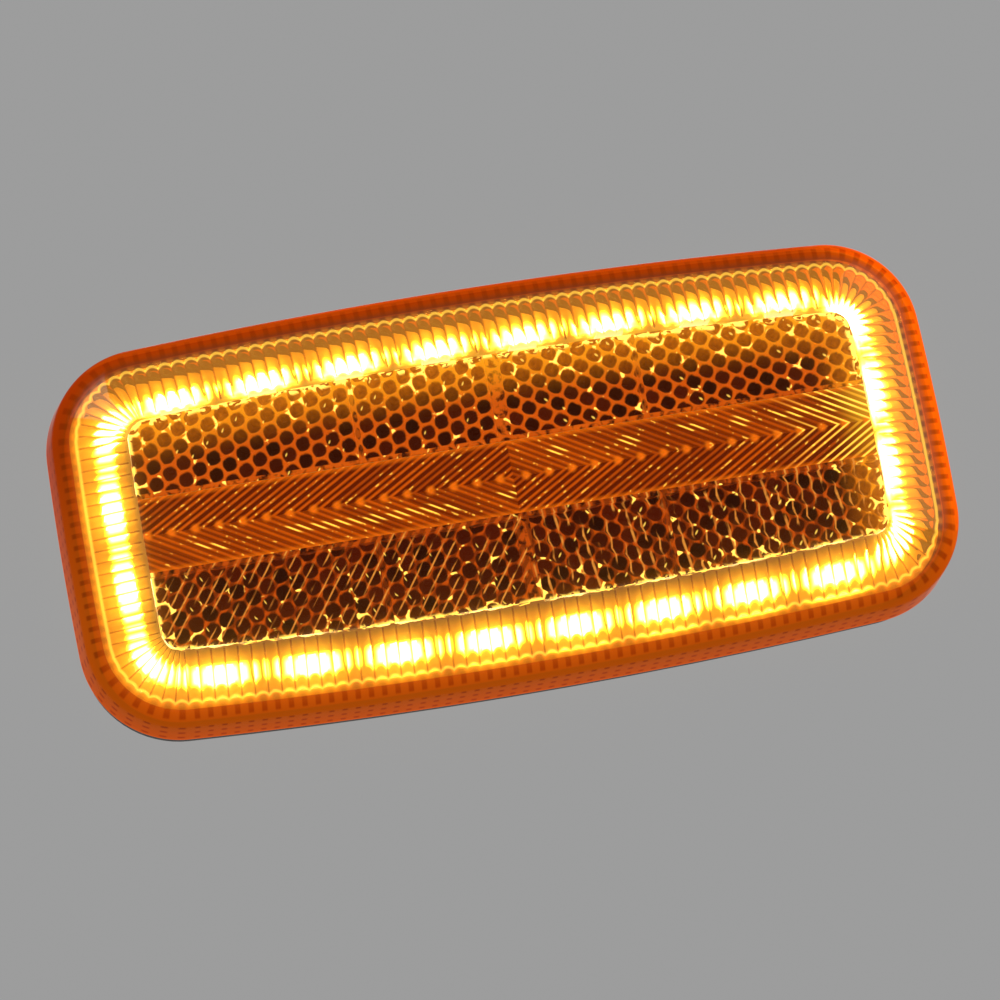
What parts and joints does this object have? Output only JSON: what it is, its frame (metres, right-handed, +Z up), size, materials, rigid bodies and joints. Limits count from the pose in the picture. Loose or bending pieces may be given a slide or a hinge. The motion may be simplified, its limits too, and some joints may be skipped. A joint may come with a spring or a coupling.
{
  "type": "side marker lamp",
  "caption": "Amber side marker lamp for a vehicle: fluted rim lit by a ring of light sources, reflex fields and a chevron band, sealed housing with rear bosses and a plug socket.",
  "frame": {"origin": "middle of the two rear screw bosses, on the plane of their ends", "axes": "+X along the lamp's length, +Y out of the boss holes (away from the lens), +Z up, lens facing -Y"},
  "size_m": [0.11, 0.0343, 0.0506],
  "materials": {
    "amber_lens": "clear amber, polished",
    "black_plastic": "fine moulded grain",
    "gasket_foam": "closed-cell foam",
    "board_white": "white solder mask",
    "chip_black": "moulded epoxy",
    "blade_metal": "tin-plated",
    "screw_steel": "zinc-plated",
    "breather": "fibrous membrane",
    "led_package": "white package, lit amber",
    "resistor_body": "glazed chip"
  },
  "bodies": {
    "root": {"outer_lens": "amber_lens", "housing": "black_plastic", "mounting_gasket": "gasket_foam", "led_board": "board_white", "polarity_diode": "chip_black", "terminal_positive": "blade_metal", "terminal_negative": "blade_metal", "board_screws": "screw_steel", "vent_patch": "breather", "led_01": "led_package", "led_02": "led_package", "led_03": "led_package", "led_04": "led_package", "led_05": "led_package", "led_06": "led_package", "led_07": "led_package", "led_08": "led_package", "led_09": "led_package", "led_10": "led_package", "led_11": "led_package", "led_12": "led_package", "led_13": "led_package", "led_14": "led_package", "led_15": "led_package", "led_16": "led_package", "led_17": "led_package", "led_18": "led_package", "led_19": "led_package", "led_20": "led_package", "led_21": "led_package", "led_22": "led_package", "led_23": "led_package", "led_24": "led_package", "resistor_1": "resistor_body", "resistor_2": "resistor_body", "resistor_3": "resistor_body", "resistor_4": "resistor_body", "resistor_5": "resistor_body", "resistor_6": "resistor_body", "resistor_7": "resistor_body", "resistor_8": "resistor_body"}
  },
  "joints": []
}
